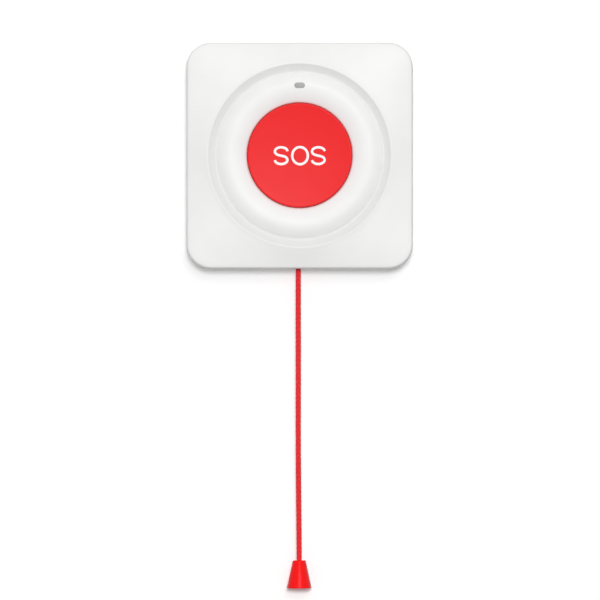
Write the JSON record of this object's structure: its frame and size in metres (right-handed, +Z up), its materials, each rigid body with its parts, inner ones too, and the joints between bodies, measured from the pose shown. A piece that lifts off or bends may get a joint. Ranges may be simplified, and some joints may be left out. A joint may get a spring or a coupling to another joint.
{
  "type": "emergency pull cord alarm",
  "caption": "Square wall unit with a large round press button in a moulded dish, an indicator, and a hanging cord with a cone pull that works an inner slider and switch.",
  "frame": {"origin": "centre of the back cover's flat rear face, which lies on the wall", "axes": "+Z up along the wall, +X to the right seen from the front, the front faces -Y and the wall side is +Y"},
  "size_m": [0.086, 0.0203, 0.207],
  "materials": {
    "white_shell": "moulded ABS, fine satin",
    "bush_plastic": "moulded nylon, satin",
    "seal_silicone": "silicone, matt",
    "button_red": "moulded ABS, soft gloss",
    "pull_red": "moulded polypropylene, gloss",
    "cord_red": "braided polyester cord",
    "lens_grey": "translucent smoked polycarbonate",
    "lamp_white": "surface mount lamp body",
    "board_green": "solder resist over glass laminate",
    "tin_plate": "tin plated steel, satin",
    "black_plastic": "moulded, matt",
    "plunger_red": "moulded acetal",
    "cell_steel": "nickel plated can, fine brushed",
    "spring_steel": "drawn spring wire and strip",
    "natural_acetal": "natural acetal, slightly waxy",
    "screw_steel": "zinc plated"
  },
  "bodies": {
    "casing": {"front_cover": "white_shell", "back_cover": "white_shell", "cord_bush": "bush_plastic", "casing_seal": "seal_silicone", "dome_pad": "seal_silicone", "indicator_lens": "lens_grey", "indicator_lamp": "lamp_white", "circuit_board": "board_green", "radio_module": "board_green", "radio_shield": "tin_plate", "crystal_can": "tin_plate", "storage_capacitor": "tin_plate", "processor_chip": "black_plastic", "sounder": "black_plastic", "cell_holder": "black_plastic", "pull_switch_case": "black_plastic", "coin_cell": "cell_steel", "slider_spring": "spring_steel", "cell_contact_side": "spring_steel", "cell_contact_base": "spring_steel", "slider_guide": "natural_acetal", "casing_screw_1": "screw_steel", "casing_screw_2": "screw_steel", "casing_screw_3": "screw_steel", "casing_screw_4": "screw_steel", "board_screw_1": "screw_steel", "board_screw_2": "screw_steel", "board_screw_3": "screw_steel"},
    "button": {"button_cap": "button_red"},
    "pull": {"pull_slider": "natural_acetal", "cord_knot_top": "cord_red", "pull_cord": "cord_red", "pull_end": "pull_red", "cord_knot_end": "cord_red"},
    "switch_plunger": {"pull_switch_plunger": "plunger_red"}
  },
  "joints": [
    {"name": "button_press", "type": "slide", "parent": "casing", "child": "button", "axis": [0, 1, 0], "range_m": [0, 0.001], "stiffness_N_per_m": 900, "springref_m": -0.001, "deforming": ["dome_pad"]},
    {"name": "cord_pull", "type": "slide", "parent": "casing", "child": "pull", "axis": [0, 0, -1], "range_m": [0, 0.005], "stiffness_N_per_m": 600, "springref_m": -0.004, "deforming": ["slider_spring"]},
    {"name": "switch_press", "type": "slide", "parent": "casing", "child": "switch_plunger", "axis": [1, 0, 0], "range_m": [0, 0.0005]}
  ],
  "couplings": [
    {"joint": "switch_press", "follows": "cord_pull", "ratio": 0.1}
  ]
}
